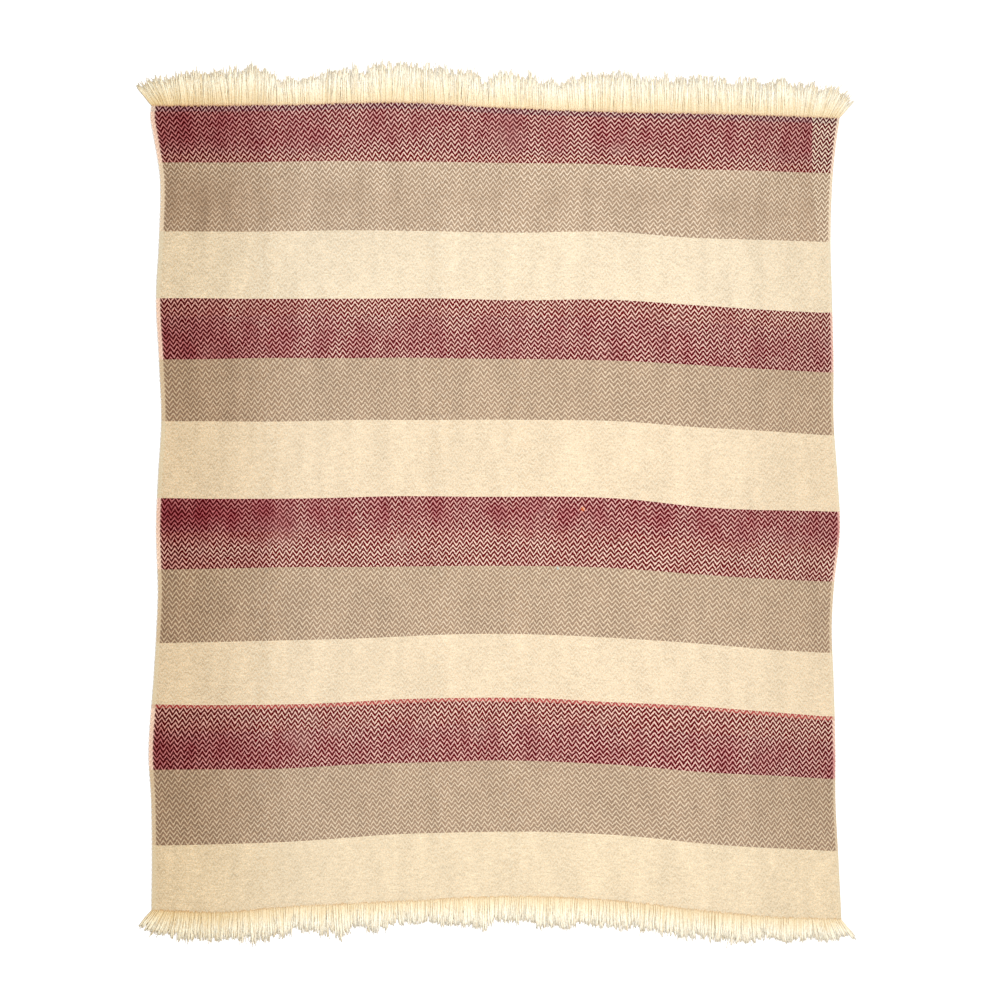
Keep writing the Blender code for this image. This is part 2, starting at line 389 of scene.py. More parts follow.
def times(tree, first, second):
    """One number times another."""
    return calc(tree, "MULTIPLY", first, second)


def fade(tree, value, start, stop, low=0.0, high=1.0):
    """Rises smoothly from low to high while the value goes from start to stop."""
    node = tree.nodes.new("ShaderNodeMapRange")
    node.interpolation_type = "SMOOTHSTEP"
    for socket, given in zip(node.inputs, (value, start, stop, low, high)):
        connect(tree, given, socket)
    return node.outputs["Result"]


def blend(tree, share, first, second):
    """A mix of two colours."""
    node = tree.nodes.new("ShaderNodeMix")
    node.data_type = "RGBA"
    connect(tree, share, node.inputs[0])
    connect(tree, first, node.inputs[6])
    connect(tree, second, node.inputs[7])
    return node.outputs[2]


def tinted(tree, colour, tint):
    """A colour multiplied by another."""
    node = tree.nodes.new("ShaderNodeVectorMath")
    node.operation = "MULTIPLY"
    connect(tree, colour, node.inputs[0])
    connect(tree, tint, node.inputs[1])
    return node.outputs["Vector"]


def deepened(tree, colour, depth):
    """A colour deepened by a power, as layers of its dye deepen it; painted shade uses it too."""
    node = tree.nodes.new("ShaderNodeGamma")
    connect(tree, colour, node.inputs["Color"])
    connect(tree, depth, node.inputs["Gamma"])
    return node.outputs["Color"]


def washed(tree, share, colour, over):
    """A colour seen through a share of another's loose fibres, which darken it as a dye does."""
    under = deepened(tree, colour, calc(tree, "SUBTRACT", 1.0, share))
    return tinted(tree, under, deepened(tree, over, share))


def toned(tree, colour, strength):
    """A colour made lighter or darker by a number."""
    node = tree.nodes.new("ShaderNodeVectorMath")
    node.operation = "SCALE"
    connect(tree, colour, node.inputs["Vector"])
    connect(tree, strength, node.inputs["Scale"])
    return node.outputs["Vector"]


def parts_of(tree, place):
    """The numbers that a place is made of."""
    node = tree.nodes.new("ShaderNodeSeparateXYZ")
    connect(tree, place, node.inputs["Vector"])
    return node.outputs


def map_place(tree, name):
    """The two numbers of a place on one of the piece's own maps."""
    node = tree.nodes.new("ShaderNodeUVMap")
    node.uv_map = name
    parts = parts_of(tree, node.outputs["UV"])
    return parts["X"], parts["Y"]


def object_place(tree):
    """A place on the object, in metres."""
    return tree.nodes.new("ShaderNodeTexCoord").outputs["Object"]


def distance(tree, place, spot):
    """How far a place is from a spot on the cloth's face."""
    node = tree.nodes.new("ShaderNodeVectorMath")
    node.operation = "DISTANCE"
    connect(tree, place, node.inputs[0])
    node.inputs[1].default_value = (*spot, CLOTH_THICK)
    return node.outputs["Value"]


def noise(tree, place, scale, detail=2.0):
    """Soft noise from 0 to 1, about 0.5 on average, with this many spots for each unit of place."""
    node = tree.nodes.new("ShaderNodeTexNoise")
    connect(tree, place, node.inputs["Vector"])
    node.inputs["Scale"].default_value = scale
    node.inputs["Detail"].default_value = detail
    return node.outputs["Fac"]


def thread_noise(tree, one_way, other_way, steps):
    """Noise that follows the threads, with these steps of it for each thread either way."""
    node = tree.nodes.new("ShaderNodeCombineXYZ")
    connect(tree, times(tree, one_way, steps[0]), node.inputs["X"])
    connect(tree, times(tree, other_way, steps[1]), node.inputs["Y"])
    return noise(tree, node.outputs["Vector"], 1.0, 3.0)


def new_group(name, taken, given):
    """A shader node group with these sockets in and out, each a label and a kind."""
    group = bpy.data.node_groups.new(name, "ShaderNodeTree")
    for way, sockets in (("INPUT", taken), ("OUTPUT", given)):
        for label, kind in sockets:
            group.interface.new_socket(name=label, in_out=way, socket_type="NodeSocket" + kind)
    start = group.nodes.new("NodeGroupInput")
    finish = group.nodes.new("NodeGroupOutput")
    return group, start.outputs, finish.inputs


def place_group(tree, group, **values):
    """Puts the group into a material and feeds the sockets that are named."""
    node = tree.nodes.new("ShaderNodeGroup")
    node.node_tree = group
    for label, value in values.items():
        connect(tree, value, node.inputs[label.replace("_", " ")])
    return node.outputs


def wool_material(name):
    """A matt wool material: the material, its tree and its shader."""
    material = bpy.data.materials.new(name)
    material.use_nodes = True
    shader = material.node_tree.nodes["Principled BSDF"]
    shader.inputs["Roughness"].default_value = 0.95
    shader.inputs["Specular IOR Level"].default_value = 0.0
    return material, material.node_tree, shader


def raised(tree, height, depth, shader):
    """Drives the shader's normal by a height."""
    node = tree.nodes.new("ShaderNodeBump")
    node.inputs["Distance"].default_value = depth
    connect(tree, height, node.inputs["Height"])
    connect(tree, node.outputs["Normal"], shader.inputs["Normal"])


def dyed(red, green, blue):
    """A yarn's own colour, from how it looks on a screen in the middle of the studio's light."""
    seen = np.array([red, green, blue]) / 255
    linear = np.where(seen <= 0.04045, seen / 12.92, ((seen + 0.055) / 1.055) ** 2.4)
    return (*(linear / LIGHT_AT_MIDDLE), 1.0)


# How much brighter than its own colour a white cloth looks in the middle of the studio's light.
LIGHT_AT_MIDDLE = 1.46

# Each dye lot: the weft's colour, and the colour of the cream warp beside it.
DYE_LOTS = {
    "plum": (dyed(92, 19, 38), dyed(268, 248, 227)),
    "crimson": (dyed(105, 17, 28), dyed(284, 260, 237)),
    "brick": (dyed(110, 18, 24), dyed(285, 261, 238)),
    "rose": (dyed(186, 84, 82), dyed(256, 234, 208)),
    "taupe": (dyed(181, 155, 131), dyed(271, 253, 226)),
    "stone": (dyed(175, 148, 125), dyed(254, 234, 203)),
    "pearl": (dyed(249, 230, 200), dyed(255, 243, 217)),
    "ivory": (dyed(248, 226, 194), dyed(253, 239, 210)),
    "straw": (dyed(250, 229, 195), dyed(253, 237, 206)),
}

# The weft as it was wound on the shuttle, from the top: dye lot, number of picks, and how much of
# its loose fibre has felted over the warp halfway through them.
SHUTTLES = (
    ("plum", 4, 0.05), ("crimson", 10, 0.10), ("crimson", 24, 0.10), ("brick", 8, 0.04),
    ("taupe", 54, 0.22),
    ("pearl", 50, 0.05), ("rose", 1, 0.04),
    ("brick", 13, 0.05), ("crimson", 35, 0.09),
    ("stone", 50, 0.08),
    ("ivory", 57, 0.09), ("rose", 1, 0.11),
    ("crimson", 27, 0.14), ("brick", 29, 0.03),
    ("stone", 54, 0.08),
    ("ivory", 52, 0.05), ("rose", 1, 0.04),
    ("brick", 19, 0.04), ("crimson", 27, 0.10),
    ("stone", 57, 0.08),
    ("straw", 53, 0.05),
)


def shuttle_ramp(tree, down_cloth, turn, change, colour_of):
    """A ramp down the cloth with a stop for each shuttle, this far through its picks."""
    node = tree.nodes.new("ShaderNodeValToRGB")
    node.color_ramp.interpolation = change
    stops = node.color_ramp.elements
    stops.remove(stops[1])
    woven = 0
    for lot, picks, felted in SHUTTLES:
        place = (woven + picks * turn) / PICKS
        stop = stops.new(place) if woven else stops[0]
        stop.position = place
        stop.color = colour_of(lot, felted)
        woven += picks
    connect(tree, down_cloth, node.inputs["Fac"])
    return node.outputs["Color"]


def weft_of(lot, _felted):
    """The colour of this shuttle's weft."""
    return DYE_LOTS[lot][0]


def warp_of(lot, _felted):
    """The colour of the warp beside it."""
    return DYE_LOTS[lot][1]


def felting_of(_lot, felted):
    """How felted it is, as a grey."""
    return (felted, felted, felted, 1.0)


# The colours of weft and warp at a pick, which change sharply, and how felted they are there, which
# changes softly from lot to lot.
lots, lots_in, lots_out = new_group(
    "dye_lots", [("Pick", "Float")], [("Weft", "Color"), ("Warp", "Color"), ("Felted", "Float")]
)
whole_pick = calc(lots, "ADD", calc(lots, "FLOOR", lots_in["Pick"]), 0.5)
down_cloth = calc(lots, "DIVIDE", whole_pick, PICKS)
for label, turn, change, colour_of in (
    ("Weft", 0.0, "CONSTANT", weft_of),
    ("Warp", 0.0, "CONSTANT", warp_of),
    ("Felted", 0.5, "LINEAR", felting_of),
):
    ramp = shuttle_ramp(lots, down_cloth, turn, change, colour_of)
    connect(lots, ramp, lots_out[label])

# Nearly all of a noise's values lie between the first two numbers, and most between the others.
MOST_OF_NOISE = (0.25, 0.75)
MIDDLE_OF_NOISE = (0.3, 0.7)

# Loose fibres: how many hairs and lumps there are in a metre, and the painted shade, which is warmer,
# where the wool lies deep, and the painted light where it stands up.
HAIRS = 900.0
LUMPS = 260.0
HAIR_TONES = (0.95, 1.05)
DEEP_SHADE_TINT = (0.965, 0.910, 0.845, 1.0)
RAISED_LIGHT_TINT = (1.04, 1.06, 1.08, 1.0)

fuzz, fuzz_in, fuzz_out = new_group(
    "wool_fuzz_and_shade", [("Place", "Vector")], [("Tint", "Color"), ("Height", "Float")]
)
hairs = noise(fuzz, fuzz_in["Place"], HAIRS, 3.0)
lumps = noise(fuzz, fuzz_in["Place"], LUMPS, 1.0)
hair_tone = fade(fuzz, hairs, *MOST_OF_NOISE, *HAIR_TONES)
is_raised = fade(fuzz, lumps, 0.28, 0.72)
# The lumps are painted with shade where they lie deep and with light where they stand up.
lump_light_and_shade = blend(fuzz, is_raised, DEEP_SHADE_TINT, RAISED_LIGHT_TINT)
connect(fuzz, toned(fuzz, lump_light_and_shade, hair_tone), fuzz_out["Tint"])
connect(fuzz, calc(fuzz, "MULTIPLY_ADD", lumps, 1.5, hairs), fuzz_out["Height"])

# The draft: which thread is on top at a place, and how high it stands there. The weft is beaten in
# so close that it covers the warp even from a little below it.
CRIMP = 0.55
YARN_ROUND = 0.60
WEFT_COVERS = (-0.80, -0.51)

twill, draft_in, draft_out = new_group(
    "zigzag_twill",
    [("End", "Float"), ("Pick", "Float")],
    [("Weft Shows", "Float"), ("Height", "Float")],
)


def round_yarn(tree, thread):
    """How far a round yarn's top is from flat, across its own width."""
    off = calc(tree, "MULTIPLY_ADD", calc(tree, "FRACT", thread), 2.0, -1.0)
    return calc(tree, "SQRT", calc(tree, "SUBTRACT", 1.02, times(tree, off, off)))


quarter_turn = 2 * math.pi / PICKS_PER_REPEAT
slope_here = calc(
    twill, "PINGPONG", calc(twill, "SUBTRACT", draft_in["End"], 0.5), ENDS_UP_A_SLOPE
)
slope_of_end = calc(
    twill, "PINGPONG", calc(twill, "FLOOR", draft_in["End"]), ENDS_UP_A_SLOPE
)
weft_step = calc(twill, "ADD", calc(twill, "FLOOR", draft_in["Pick"]), slope_here)
weft_step = times(twill, calc(twill, "ADD", weft_step, 0.5), quarter_turn)
warp_step = calc(twill, "ADD", draft_in["Pick"], slope_of_end)
warp_step = times(twill, warp_step, quarter_turn)
weft_path = times(twill, calc(twill, "SINE", weft_step), CRIMP)
warp_path = times(twill, calc(twill, "SINE", warp_step), -CRIMP)
weft_round = times(twill, round_yarn(twill, draft_in["Pick"]), YARN_ROUND)
warp_round = times(twill, round_yarn(twill, draft_in["End"]), YARN_ROUND)
weft_top = calc(twill, "ADD", weft_path, weft_round)
warp_top = calc(twill, "ADD", warp_path, warp_round)
lead = calc(twill, "SUBTRACT", weft_top, warp_top)
connect(twill, fade(twill, lead, *WEFT_COVERS), draft_out["Weft Shows"])
connect(twill, calc(twill, "MAXIMUM", weft_top, warp_top), draft_out["Height"])

# Places where the nap is felted together and the ribs blur: middle and radius.
FELTED = (
    ((0.040, 0.985), 0.060), ((-0.568, -0.074), 0.075), ((-0.523, -0.640), 0.050),
    ((0.330, 0.950), 0.030), ((-0.250, -0.110), 0.035),
)

# In a metre there are this many frays along their edges, and this many fainter places. Each kind
# blurs the ribs by this share at most.
FRAYS_IN_A_METRE = 45.0
FELTED_IN_A_METRE = 11.0
FELTED_BLUR = 0.14
FAINT_BLUR = 0.20

# Specks of bark and burr that were never combed out: how many in a metre, radius and colour.
SPECKS_IN_A_METRE = 5.0
SPECK_RADIUS = 0.0013
SPECK_BROWN = dyed(96, 62, 50)

# Flecks of other wool spun into the weft by chance: middle, radius and colour.
FLECKS = (
    ((0.2358, -0.0174), 0.0070, dyed(206, 92, 48)),
    ((0.1688, -0.1755), 0.0050, dyed(190, 206, 206)),
)

# The bare cream ends at each selvedge, and the paler strip at the top right where the warp has none of the
# weft's wash:
# how wide it is, how fast it narrows, where it ends, and where the wash lies thicker and darker beside it.
LEFT_SELVEDGE_ENDS = 4.5
RIGHT_SELVEDGE_ENDS = 3.0
PALE_STRIP_ENDS = 34.0
PALE_STRIP_SLANT = 0.19
PALE_STRIP_PICKS = (98.0, 118.0)
PALE_STRIP_MARGIN = (10.0, 40.0)

# The weft's loose fibres lie thinner and thicker in streaks and in clouds, this many in a metre, and
# thicker over this many ends from the left, but not on the first few.
STREAK_FUZZ = (0.65, 1.35)
CLOUD_FUZZ = (0.75, 1.25)
CLOUDS_IN_A_METRE = 15.0
LEFT_FUZZ = 1.1
LEFT_FUZZY_ENDS = 230.0
LEFT_CLEAN_ENDS = (3.0, 7.0)

# Painted shade, where the light falls off, deepens the colours by this much at each side, fading over this
# many ends.
LEFT_SHADE_DEPTH = 1.28
LEFT_SHADED_ENDS = 190.0
RIGHT_SHADE_DEPTH = 1.08
RIGHT_SHADED_ENDS = 150.0

# Hand-spun yarn is heathered and hairy: how many spots its ragged outline and its light and dark
# have in a metre, and how many picks the outline strays.
RAGS_IN_A_METRE = 300.0
HEATHER_IN_A_METRE = 390.0
RAGGED_PICKS = 1.9

# How fast the tone of a pick, of an end and of the upright streaks changes: steps for each thread
# along it, and from one to the next.
PICK_STEPS = (0.11, 3.7)
END_STEPS = (0.12, 4.3)
STREAK_STEPS = (0.045, 0.016)

# The tones that each goes between, and those of the heather and of the painted shade in the hollows
# between threads.
PICK_TONES = (0.88, 1.13)
END_TONES = (0.97, 1.02)
STREAK_TONES = (1.07, 0.92)
HEATHER_TONES = (0.87, 1.12)
HOLLOW_SHADE_TONES = (0.95, 1.01)
WEAVE_DEPTH = 0.0006

weave, tree, shader = wool_material("banded_wool_twill")
place = object_place(tree)
end_count, pick_count = map_place(tree, "threads")
ragged_pick = calc(tree, "SUBTRACT", noise(tree, place, RAGS_IN_A_METRE, 1.0), 0.5)
ragged_pick = calc(tree, "MULTIPLY_ADD", ragged_pick, RAGGED_PICKS, pick_count)
draft_here = place_group(tree, twill, End=end_count, Pick=ragged_pick)
lots_here = place_group(tree, lots, Pick=pick_count)
fuzz_here = place_group(tree, fuzz, Place=place)

blur = fade(tree, noise(tree, place, FELTED_IN_A_METRE, 3.0), 0.60, 0.80, 0.0, FAINT_BLUR)
frays = noise(tree, place, FRAYS_IN_A_METRE)
for middle, radius in FELTED:
    off_middle = calc(tree, "MULTIPLY_ADD", frays, radius, distance(tree, place, middle))
    felted = fade(tree, off_middle, 0.7 * radius, 1.5 * radius, FELTED_BLUR, 0.0)
    blur = calc(tree, "MAXIMUM", blur, felted)

# Each pick and end is spun a little thicker, thinner, paler or darker than the next.
whole_pick = calc(tree, "FLOOR", pick_count)
whole_end = calc(tree, "FLOOR", end_count)
pick_noise = thread_noise(tree, end_count, whole_pick, PICK_STEPS)
end_noise = thread_noise(tree, pick_count, whole_end, END_STEPS)
streaks = thread_noise(tree, end_count, pick_count, STREAK_STEPS)
heather_noise = noise(tree, place, HEATHER_IN_A_METRE, 1.0)
heather = fade(tree, heather_noise, *MIDDLE_OF_NOISE, *HEATHER_TONES)
pick_tone = times(tree, fade(tree, pick_noise, *MOST_OF_NOISE, *PICK_TONES), heather)
end_tone = fade(tree, end_noise, *MOST_OF_NOISE, *END_TONES)
streak_tone = fade(tree, streaks, *MOST_OF_NOISE, *STREAK_TONES)
weft_colour = toned(tree, lots_here["Weft"], times(tree, pick_tone, streak_tone))
warp_colour = toned(tree, lots_here["Warp"], end_tone)
for middle, radius, fleck_colour in FLECKS:
    is_fleck = fade(tree, distance(tree, place, middle), 0.6 * radius, radius, 0.9, 0.0)
    weft_colour = blend(tree, is_fleck, weft_colour, fleck_colour)

# Loose fibres of the weft have felted over the warp in soft upright clouds, like a thin wash of its
# colour. Along the left edge there is more of it, and in a strip at the top right none.
from_right = calc(tree, "SUBTRACT", ENDS, end_count)
strip_edge = calc(tree, "MULTIPLY_ADD", pick_count, -PALE_STRIP_SLANT, PALE_STRIP_ENDS)
off_strip = calc(tree, "SUBTRACT", from_right, strip_edge)
outside_strip = fade(tree, off_strip, -1.0, 1.0)
beside_strip = times(tree, outside_strip, fade(tree, off_strip, *PALE_STRIP_MARGIN, 0.5, 0.0))
below_strip = fade(tree, pick_count, *PALE_STRIP_PICKS)
outside_strip = calc(tree, "MAXIMUM", outside_strip, below_strip)
beside_strip = times(tree, beside_strip, calc(tree, "SUBTRACT", 1.0, below_strip))
clouds = fade(tree, streaks, *MIDDLE_OF_NOISE, *STREAK_FUZZ)
patches = fade(tree, noise(tree, place, CLOUDS_IN_A_METRE), *MIDDLE_OF_NOISE, *CLOUD_FUZZ)
clouds = times(tree, clouds, patches)
clouds = calc(tree, "ADD", clouds, fade(tree, end_count, 0.0, LEFT_FUZZY_ENDS, LEFT_FUZZ, 0.0))
clouds = times(tree, clouds, fade(tree, end_count, *LEFT_CLEAN_ENDS, 0.1, 1.0))
clouds = times(tree, calc(tree, "ADD", clouds, beside_strip), outside_strip)
wash = times(tree, lots_here["Felted"], clouds)
warp_colour = washed(tree, wash, warp_colour, weft_colour)
weft_shows = calc(tree, "SUBTRACT", draft_here["Weft Shows"], 0.5)
weft_shows = calc(tree, "MULTIPLY_ADD", weft_shows, calc(tree, "SUBTRACT", 1.0, blur), 0.5)
inside_left = fade(tree, end_count, LEFT_SELVEDGE_ENDS - 1.5, LEFT_SELVEDGE_ENDS + 0.5, 0.2, 1.0)
inside_right = fade(tree, from_right, RIGHT_SELVEDGE_ENDS - 1.5, RIGHT_SELVEDGE_ENDS + 0.5, 0.3, 1.0)
weft_shows = times(tree, weft_shows, times(tree, inside_left, inside_right))
colour = blend(tree, weft_shows, warp_colour, weft_colour)

# Shade is painted into the hollows between the threads, and the colours are painted darker towards both
# sides as shade where the light falls off.
hollow_shade = fade(tree, draft_here["Height"], 0.25, 0.95, *HOLLOW_SHADE_TONES)
colour = tinted(tree, toned(tree, colour, hollow_shade), fuzz_here["Tint"])
left_painted_shade = fade(tree, end_count, 0.0, LEFT_SHADED_ENDS, LEFT_SHADE_DEPTH, 1.0)
right_painted_shade = fade(tree, from_right, 0.0, RIGHT_SHADED_ENDS, RIGHT_SHADE_DEPTH, 1.0)
colour = deepened(tree, colour, times(tree, left_painted_shade, right_painted_shade))

specks = tree.nodes.new("ShaderNodeTexVoronoi")
specks.inputs["Scale"].default_value = SPECKS_IN_A_METRE
connect(tree, place, specks.inputs["Vector"])
is_speck = calc(tree, "LESS_THAN", specks.outputs["Distance"], SPECKS_IN_A_METRE * SPECK_RADIUS)
colour = blend(tree, times(tree, is_speck, 0.7), colour, SPECK_BROWN)
connect(tree, colour, shader.inputs["Base Color"])
weave_height = times(tree, draft_here["Height"], fade(tree, blur, 0.0, 1.0, 1.0, 0.4))
weave_height = calc(tree, "MULTIPLY_ADD", fuzz_here["Height"], 0.5, weave_height)
raised(tree, weave_height, WEAVE_DEPTH, shader)
cloth.data.materials.clear()
cloth.data.materials.append(weave)
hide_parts("cloth")
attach(cloth, "root")


# The fringe is the warp itself: when the cloth was cut from the loom its cream ends were left loose
# at the top and the bottom. They keep the crimp of the weave for a finger's width, then gather in
# soft tufts, untwist and fray to pale tips.
FRINGE_LENGTHS = (
    (0.00, 0.062, 0.056), (0.04, 0.084, 0.074), (0.10, 0.085, 0.072), (0.16, 0.091, 0.077),
    (0.19, 0.064, 0.072), (0.23, 0.075, 0.064), (0.27, 0.086, 0.085), (0.29, 0.086, 0.062),
    (0.33, 0.090, 0.073), (0.36, 0.100, 0.056), (0.40, 0.085, 0.058), (0.46, 0.086, 0.073),
    (0.49, 0.068, 0.072), (0.51, 0.085, 0.062), (0.55, 0.080, 0.070), (0.59, 0.064, 0.079),
    (0.63, 0.090, 0.072), (0.72, 0.092, 0.067), (0.80, 0.091, 0.070), (0.86, 0.090, 0.066),
    (0.89, 0.078, 0.052), (0.92, 0.089, 0.058), (0.95, 0.080, 0.052), (0.98, 0.088, 0.056),
    (1.00, 0.056, 0.058),
)
SPLAY_REACH = 0.028
ROOT_INSIDE = 0.004
CRIMP_DEEP = 0.012
CRIMP_LENGTH = 0.0068
CRIMP_SIDEWAYS = 0.0003
CRIMP_RISE = 0.0006

# Height of the lowest end's middle, and how much higher the highest one's is: at the root, and once
# they have settled on the floor. Their tips drop a little further.
HEIGHT_AT_ROOT = (0.0019, 0.0010)
HEIGHT_SETTLED = (0.0010, 0.0008)
TIP_DROP = 0.0004

# How unevenly the ends lie: how much their lengths differ, one by one and tuft by tuft, how they
# lean, how far they are drawn in to the middle of their tuft at most, and their own slow waves.
ENDS_IN_A_TUFT = (5, 14)
END_LENGTHS_DIFFER = 0.09
TUFT_LENGTHS_DIFFER = 0.05
LEAN_WAVES = ((0.05, 61.0, 1.0), (0.04, 137.0, 2.0))
LEANS_DIFFER = 0.018
GATHERED = 0.03
GATHERS_DIFFER = 0.06
MOST_GATHERED = 0.25
WAVE_SIZES = (0.0003, 0.0012)
WAVE_LENGTHS = (0.035, 0.060)

YARN_WIDTH = ((0.0, 0.0010), (0.05, 0.0016), (0.40, 0.0025), (0.80, 0.0027), (1.0, 0.0014))
YARN_FLATNESS = 0.32
YARN_SECTIONS = (0.0, 0.03, 0.06, 0.09, 0.12, 0.16, 0.24, 0.36, 0.52, 0.70, 0.86, 1.0)
YARN_CELLS = (24, 32)
YARN_SHARE_OF_MAP = 0.7
STRAND_STEP = 3.0
PATH_STEP = 0.02
CELL_MARGIN = 0.06

# Each wisp: where it leaves its yarn and how far it reaches, as shares of the yarn's length, then
# how far it strays, curls and rises.
WISPS_PER_END = 3
WISP_LEAVES_AT = (0.15, 0.6)
WISP_REACHES = (0.85, 1.10)
WISP_STRAY = 0.10
WISP_CURL = 0.003
WISP_RISE = 0.0008
WISP_WIDTH = 0.0017
WISP_TAPER = 0.0010
WISP_LOWEST = 0.0005
WISP_SECTIONS = (0.0, 0.2, 0.4, 0.6, 0.8, 1.0)
WISP_CELLS = (48, 48)

# The cream of the loose yarn: its length and its tips, painted paler as light shines through them, the
# ends that lie sunken between others, painted in their shade, a yarn's two sides, painted in shade,
# its root, the root where crimson has bled, and the painted shade at the cloth.
YARN_CREAM = dyed(266, 246, 206)
TIP_LIT_CREAM = dyed(282, 274, 251)
SUNKEN_SHADE_CREAM = dyed(266, 240, 186)
SIDE_SHADE_TAN = dyed(272, 228, 158)
ROOT_BUFF = dyed(254, 220, 172)
ROOT_BLUSH = dyed(258, 222, 194)
ROOT_SHADE = dyed(232, 190, 138)

# How far along a loose end each cream starts and stops: the tips', the root's, the painted shade's at the
# cloth, and round a yarn from its top, the painted shade's of the sides.
TIP_FADE = (0.05, 0.85)
ROOT_FADE = (0.02, 0.14)
SHADE_FADE = (0.03, 0.07)
SIDE_FADE = (0.10, 0.30)

# The warp is spun of two plies, which turn round each other this often in a loose end.
PLIES = 2.0
PLY_TURNS = 26.0
PLY_DEPTH = 0.00015

# The fringe is painted darker towards the left, as shade where the light falls off: where it is deepest
# and where it stops, and how deep.
FRINGE_LEFT_SHADE = (-0.93, -0.50, 1.4, 1.0)

# Each fringe: the way out along Y, its column in the tables of lengths and of woven ends, how far it
# leans outwards at the left and the right corner, how pink its roots are, and the seed of its
# unevenness.
FRINGES = {
    "top": (1.0, 1, 0.80, 0.80, 0.5, 11),
    "bottom": (-1.0, 2, 0.85, 0.70, 0.0, 23),
}


def strand_row(name, count, sides, sections):
    """Straight strands of unit size side by side: tubes along Y, rolled up from a flat grid."""
    bpy.ops.object.select_all(action="DESELECT")
    bpy.ops.mesh.primitive_grid_add(x_subdivisions=sides, y_subdivisions=len(sections) - 1, size=1.0)
    strand = bpy.context.object
    strand.name = name
    flat = coordinates(strand.data)
    turn = flat[:, 0] * 2 * math.pi
    section = np.rint((flat[:, 1] + 0.5) * (len(sections) - 1)).astype(int)
    rolled = np.column_stack([np.sin(turn), np.array(sections)[section], np.cos(turn)])
    strand.data.vertices.foreach_set("co", rolled.ravel())
    strand.data.uv_layers[0].name = "twist"
    bpy.ops.object.mode_set(mode="EDIT")
    bpy.ops.mesh.select_all(action="SELECT")
    bpy.ops.mesh.remove_doubles(threshold=0.0001)
    bpy.ops.mesh.fill_holes(sides=0)
    bpy.ops.object.mode_set(mode="OBJECT")
    points_each = len(strand.data.vertices)
    corners_each = len(strand.data.loops)
    copies = strand.modifiers.new("copies", "ARRAY")
    copies.use_relative_offset = False
    copies.use_constant_offset = True
    copies.constant_offset_displace = (STRAND_STEP, 0.0, 0.0)
    copies.count = count
    bpy.ops.object.modifier_apply(modifier=copies.name)
    return strand, points_each, corners_each


def bend_strands(strand, points_each, path, width, flatness):
    """Bends every unit strand along its own path and gives it its width and its flatter height."""
    unit = coordinates(strand.data)
    number = np.arange(len(unit)) // points_each
    along = unit[:, 1]
    here = path(number, along)
    ahead = path(number, np.minimum(along + PATH_STEP, 1.0))
    ahead -= path(number, np.maximum(along - PATH_STEP, 0.0))
    sideways_x = ahead[:, 1] / np.hypot(ahead[:, 0], ahead[:, 1])
    sideways_y = -ahead[:, 0] / np.hypot(ahead[:, 0], ahead[:, 1])
    radius = width(number, along)
    around = (unit[:, 0] - STRAND_STEP * number) * radius
    here += np.column_stack([around * sideways_x, around * sideways_y, unit[:, 2] * radius * flatness])
    strand.data.vertices.foreach_set("co", here.ravel())
    strand.data.update()
    return number, along


def lay_in_cells(strand, corners_each, cells, left, right):
    """A second map for the bake, with each strand in a cell of its own, in columns and rows."""
    columns, rows = cells
    filled = 1.0 - 2 * CELL_MARGIN
    maps = strand.data.uv_layers
    places = np.empty(len(strand.data.loops) * 2)
    maps["twist"].data.foreach_get("uv", places)
    places = places.reshape(-1, 2)
    number = np.arange(len(places)) // corners_each
    u = left + (right - left) * (number % columns + CELL_MARGIN + filled * places[:, 0]) / columns
    v = (number // columns + CELL_MARGIN + filled * places[:, 1]) / rows
    maps.new(name="OFBake").data.foreach_set("uv", np.column_stack([u, v]).ravel())


def note_on_points(mesh, name, values):
    """Keeps a number at each point for the material."""
    mesh.attributes.new(name=name, type="FLOAT", domain="POINT").data.foreach_set("value", values)


